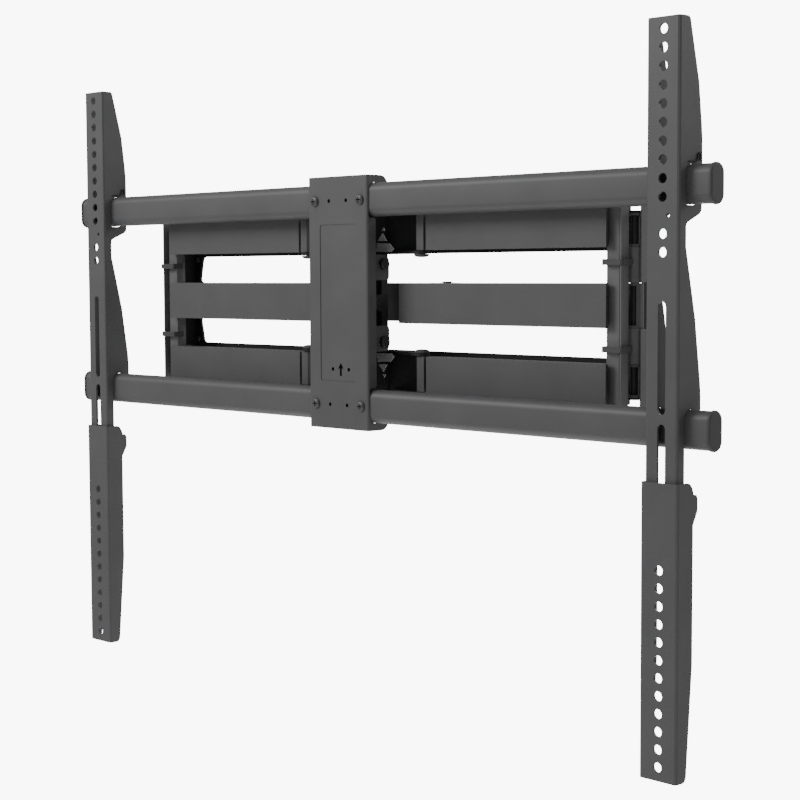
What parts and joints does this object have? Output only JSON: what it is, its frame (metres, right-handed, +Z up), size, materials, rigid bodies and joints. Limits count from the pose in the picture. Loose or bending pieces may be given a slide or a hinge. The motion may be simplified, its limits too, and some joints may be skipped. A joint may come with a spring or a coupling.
{
  "type": "full motion television wall mount",
  "caption": "Full motion television wall mount, folded flat: slotted wall plate, paired folding arms, tilting head on two cross tubes and slotted screen brackets with sliding extensions.",
  "frame": {"origin": "centre of the wall plate's back face, on the wall surface at the plate's mid height", "axes": "+X along the cross tubes to the right as seen from the room, -Y out of the wall towards the viewer, +Z up; metres"},
  "size_m": [0.8836, 0.0899, 0.6277],
  "materials": {
    "charcoal_paint": "fine textured powder coat, satin charcoal",
    "black_steel": "black oxide",
    "zinc": "dull zinc",
    "black_plastic": "matt moulded",
    "black_paint": "matt black powder coat"
  },
  "bodies": {
    "wall_frame": {"wall_plate": "black_paint", "wall_bracket_left": "black_paint", "wall_bracket_right": "black_paint", "wall_pin_left": "black_steel", "wall_pin_right": "black_steel"},
    "rear_link_left": {"rear_arm_left": "charcoal_paint", "elbow_pin_left": "black_steel"},
    "rear_link_right": {"rear_arm_right": "charcoal_paint", "elbow_pin_right": "black_steel"},
    "front_link_left": {"front_bar_upper_left": "charcoal_paint", "front_bar_lower_left": "charcoal_paint", "elbow_post_left": "charcoal_paint", "elbow_plate_left": "charcoal_paint", "cable_clip_upper_left": "black_plastic", "cable_clip_lower_left": "black_plastic", "elbow_spacer_upper_left": "charcoal_paint", "elbow_spacer_lower_left": "charcoal_paint", "elbow_guard_upper_left": "charcoal_paint", "elbow_guard_lower_left": "charcoal_paint"},
    "front_link_right": {"front_bar_upper_right": "charcoal_paint", "front_bar_lower_right": "charcoal_paint", "elbow_post_right": "charcoal_paint", "elbow_plate_right": "charcoal_paint", "cable_clip_upper_right": "black_plastic", "cable_clip_lower_right": "black_plastic", "elbow_spacer_upper_right": "charcoal_paint", "elbow_spacer_lower_right": "charcoal_paint", "elbow_guard_upper_right": "charcoal_paint", "elbow_guard_lower_right": "charcoal_paint"},
    "head": {"yoke_upper": "black_paint", "yoke_lower": "black_paint", "yoke_back": "black_paint", "pivot_screw_upper_left": "black_steel", "pivot_screw_upper_right": "black_steel", "pivot_screw_lower_left": "black_steel", "pivot_screw_lower_right": "black_steel", "tilt_bolt": "black_steel", "tilt_lock_upper": "black_steel", "tilt_lock_lower": "black_steel"},
    "tilt_frame": {"head_cover": "charcoal_paint", "side_plate_left": "charcoal_paint", "side_plate_right": "charcoal_paint", "cover_screw_upper_left": "zinc", "cover_screw_upper_right": "zinc", "cover_screw_lower_left": "zinc", "cover_screw_lower_right": "zinc", "tube_upper": "charcoal_paint", "tube_lower": "charcoal_paint", "tube_cap_upper_left": "black_plastic", "tube_cap_upper_right": "black_plastic", "tube_cap_lower_left": "black_plastic", "tube_cap_lower_right": "black_plastic"},
    "screen_bracket_left": {"tv_bracket_left": "charcoal_paint"},
    "screen_extension_left": {"extension_left": "charcoal_paint"},
    "screen_bracket_right": {"tv_bracket_right": "charcoal_paint"},
    "screen_extension_right": {"extension_right": "charcoal_paint"}
  },
  "joints": [
    {"name": "rear_left", "type": "hinge", "parent": "wall_frame", "child": "rear_link_left", "pos_m": [-0.0815, -0.01, 0], "axis": [0, 0, 1], "range_deg": [0, 60]},
    {"name": "elbow_left", "type": "hinge", "parent": "rear_link_left", "child": "front_link_left", "pos_m": [-0.3255, -0.0275, 0], "axis": [0, 0, 1], "range_deg": [-120, 0]},
    {"name": "head_left", "type": "hinge", "parent": "front_link_left", "child": "head", "pos_m": [-0.0815, -0.045, 0], "axis": [0, 0, 1], "range_deg": [0, 60]},
    {"name": "rear_right", "type": "hinge", "parent": "wall_frame", "child": "rear_link_right", "pos_m": [0.0815, -0.01, 0], "axis": [0, 0, 1], "range_deg": [-60, 0]},
    {"name": "elbow_right", "type": "hinge", "parent": "rear_link_right", "child": "front_link_right", "pos_m": [0.3255, -0.0275, 0], "axis": [0, 0, 1], "range_deg": [0, 120]},
    {"name": "tilt", "type": "hinge", "parent": "head", "child": "tilt_frame", "pos_m": [0, -0.0705, 0], "axis": [1, 0, 0], "range_deg": [-4, 4]},
    {"name": "bracket_slide_left", "type": "slide", "parent": "tilt_frame", "child": "screen_bracket_left", "axis": [1, 0, 0], "range_m": [-0.02, 0.28]},
    {"name": "bracket_slide_right", "type": "slide", "parent": "tilt_frame", "child": "screen_bracket_right", "axis": [-1, 0, 0], "range_m": [-0.02, 0.28]},
    {"name": "extension_slide_left", "type": "slide", "parent": "screen_bracket_left", "child": "screen_extension_left", "axis": [0, 0, 1], "range_m": [-0.03, 0.02]},
    {"name": "extension_slide_right", "type": "slide", "parent": "screen_bracket_right", "child": "screen_extension_right", "axis": [0, 0, 1], "range_m": [-0.03, 0.02]}
  ],
  "couplings": [
    {"joint": "elbow_left", "follows": "rear_left", "ratio": -2},
    {"joint": "head_left", "follows": "rear_left", "ratio": 1},
    {"joint": "rear_right", "follows": "rear_left", "ratio": -1},
    {"joint": "elbow_right", "follows": "rear_left", "ratio": 2}
  ]
}
